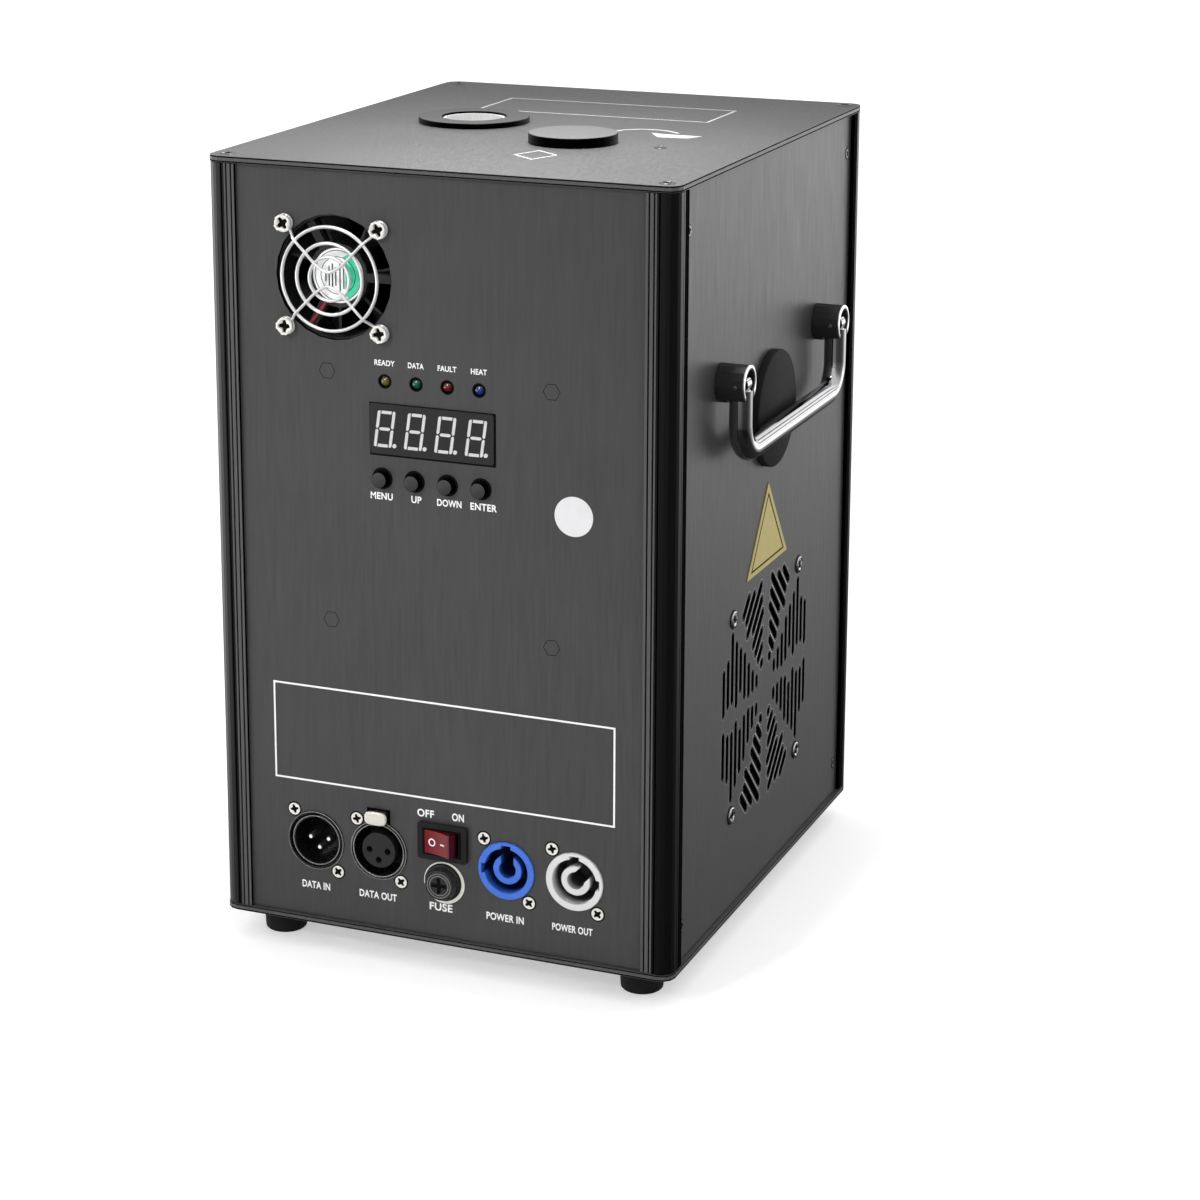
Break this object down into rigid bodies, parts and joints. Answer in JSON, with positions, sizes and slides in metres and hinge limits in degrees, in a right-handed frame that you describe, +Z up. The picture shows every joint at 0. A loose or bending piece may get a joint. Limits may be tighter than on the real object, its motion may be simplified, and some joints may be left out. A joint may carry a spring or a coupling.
{
  "type": "cold spark machine",
  "caption": "Bench-top effects unit: upright case with corner posts, control panel, sockets, handles, cut grille, nozzle and filler cap on top, and a powder feeder, heater and blower inside.",
  "frame": {"origin": "on the ground under the middle of the part's bounding box", "axes": "+Z up, -Y out of the control panel, +X to the right as the control panel is faced"},
  "size_m": [0.2148, 0.2326, 0.325],
  "materials": {
    "black_paint": "fine matt texture",
    "top_paint": "fine matt texture",
    "black_anodised": "satin black anodised",
    "black_plastic": "satin",
    "black_rubber": "matt",
    "chrome": "mirror polish",
    "bright_steel": "turned",
    "raw_steel": "machined",
    "zinc_sheet": "zinc plated",
    "circuit_board": "solder mask with fitted components",
    "display_face": "dark filter face with grey digits",
    "amber_lens": "tinted",
    "green_lens": "tinted",
    "red_lens": "tinted",
    "blue_lens": "tinted",
    "red_rocker": "translucent red",
    "blue_shell": "moulded",
    "grey_shell": "moulded",
    "mica": "layered mica",
    "glass": "clear"
  },
  "bodies": {
    "case": {"top_plate": "top_paint", "base_plate": "black_paint", "control_panel": "black_paint", "right_panel": "black_paint", "left_panel": "black_paint", "back_panel": "black_paint", "corner_post_front_left": "black_anodised", "corner_post_front_right": "black_anodised", "corner_post_back_right": "black_anodised", "corner_post_back_left": "black_anodised", "nozzle_flange": "black_anodised", "handle_post_right_front": "black_anodised", "handle_post_right_back": "black_anodised", "handle_post_left_front": "black_anodised", "handle_post_left_back": "black_anodised", "foot_front_left": "black_rubber", "foot_front_right": "black_rubber", "foot_back_right": "black_rubber", "foot_back_left": "black_rubber", "bumper_right": "black_rubber", "bumper_left": "black_rubber", "exhaust_fan_frame": "black_plastic", "intake_fan_frame": "black_plastic", "switch_housing": "black_plastic", "fuse_holder": "black_plastic", "data_inlet": "black_plastic", "data_outlet": "black_plastic", "blower_housing": "black_plastic", "fan_guard": "chrome", "nozzle_tube": "bright_steel", "feed_housing": "raw_steel", "feed_motor": "raw_steel", "hopper": "zinc_sheet", "core_frame": "zinc_sheet", "power_supply": "zinc_sheet", "display_board": "circuit_board", "main_board": "circuit_board", "display_module": "display_face", "lamp_ready": "amber_lens", "lamp_signal": "green_lens", "lamp_fault": "red_lens", "lamp_heat": "blue_lens", "power_inlet": "blue_shell", "power_outlet": "grey_shell", "heater_jacket": "mica"},
    "exhaust_rotor": {"exhaust_fan_rotor": "black_plastic"},
    "intake_rotor": {"intake_fan_rotor": "black_plastic"},
    "impeller": {"blower_impeller": "black_plastic"},
    "screw": {"feed_screw": "bright_steel"},
    "rocker": {"switch_rocker": "red_rocker"},
    "menu_key": {"button_menu": "black_plastic"},
    "up_key": {"button_up": "black_plastic"},
    "down_key": {"button_down": "black_plastic"},
    "enter_key": {"button_enter": "black_plastic"},
    "release_tab": {"data_outlet_latch": "bright_steel"},
    "fuse_link": {"fuse_cartridge": "glass"},
    "fuse_knob": {"fuse_cap": "black_plastic"},
    "right_handle": {"handle_right": "chrome"},
    "left_handle": {"handle_left": "chrome"},
    "filler_lid": {"filler_cap": "black_plastic"}
  },
  "joints": [
    {"name": "exhaust_spin", "type": "hinge", "parent": "case", "child": "exhaust_rotor", "pos_m": [-0.0432, -0.101, 0.2769], "axis": [0, 1, 0], "continuous": true},
    {"name": "intake_spin", "type": "hinge", "parent": "case", "child": "intake_rotor", "pos_m": [0.082, 0.00184, 0.0952], "axis": [1, 0, 0], "continuous": true},
    {"name": "impeller_spin", "type": "hinge", "parent": "case", "child": "impeller", "pos_m": [-0.0135, 0.00654, 0.0777], "axis": [0, 1, 0], "continuous": true},
    {"name": "screw_spin", "type": "hinge", "parent": "case", "child": "screw", "pos_m": [0.022, -0.02956, 0.19], "axis": [-0.851, 0.5252, 0], "continuous": true},
    {"name": "rocker_tilt", "type": "hinge", "parent": "case", "child": "rocker", "pos_m": [0.0008, -0.11006, 0.0548], "axis": [0, 0, 1], "range_deg": [0, 31.2]},
    {"name": "menu_press", "type": "slide", "parent": "case", "child": "menu_key", "axis": [0, 1, 0], "range_m": [0, 0.0006], "stiffness_N_per_m": 1500, "springref_m": -0.0002},
    {"name": "up_press", "type": "slide", "parent": "case", "child": "up_key", "axis": [0, 1, 0], "range_m": [0, 0.0006], "stiffness_N_per_m": 1500, "springref_m": -0.0002},
    {"name": "down_press", "type": "slide", "parent": "case", "child": "down_key", "axis": [0, 1, 0], "range_m": [0, 0.0006], "stiffness_N_per_m": 1500, "springref_m": -0.0002},
    {"name": "enter_press", "type": "slide", "parent": "case", "child": "enter_key", "axis": [0, 1, 0], "range_m": [0, 0.0006], "stiffness_N_per_m": 1500, "springref_m": -0.0002},
    {"name": "tab_press", "type": "slide", "parent": "case", "child": "release_tab", "axis": [0, 1, 0], "range_m": [0, 0.0014], "stiffness_N_per_m": 1500, "springref_m": -0.0002},
    {"name": "fuse_draw", "type": "slide", "parent": "case", "child": "fuse_link", "axis": [0, -1, 0], "range_m": [0, 0.04]},
    {"name": "fuse_turn", "type": "hinge", "parent": "fuse_link", "child": "fuse_knob", "pos_m": [0.0006, -0.11086, 0.0379], "axis": [0, -1, 0], "range_deg": [0, 90]},
    {"name": "right_handle_swing", "type": "hinge", "parent": "case", "child": "right_handle", "pos_m": [0.1029, 0.00184, 0.237], "axis": [0, -1, 0], "range_deg": [0, 90]},
    {"name": "left_handle_swing", "type": "hinge", "parent": "case", "child": "left_handle", "pos_m": [-0.1029, 0.00184, 0.237], "axis": [0, 1, 0], "range_deg": [0, 90]},
    {"name": "lid_lift", "type": "slide", "parent": "case", "child": "filler_lid", "axis": [0, 0, 1], "range_m": [0, 0.04]}
  ]
}
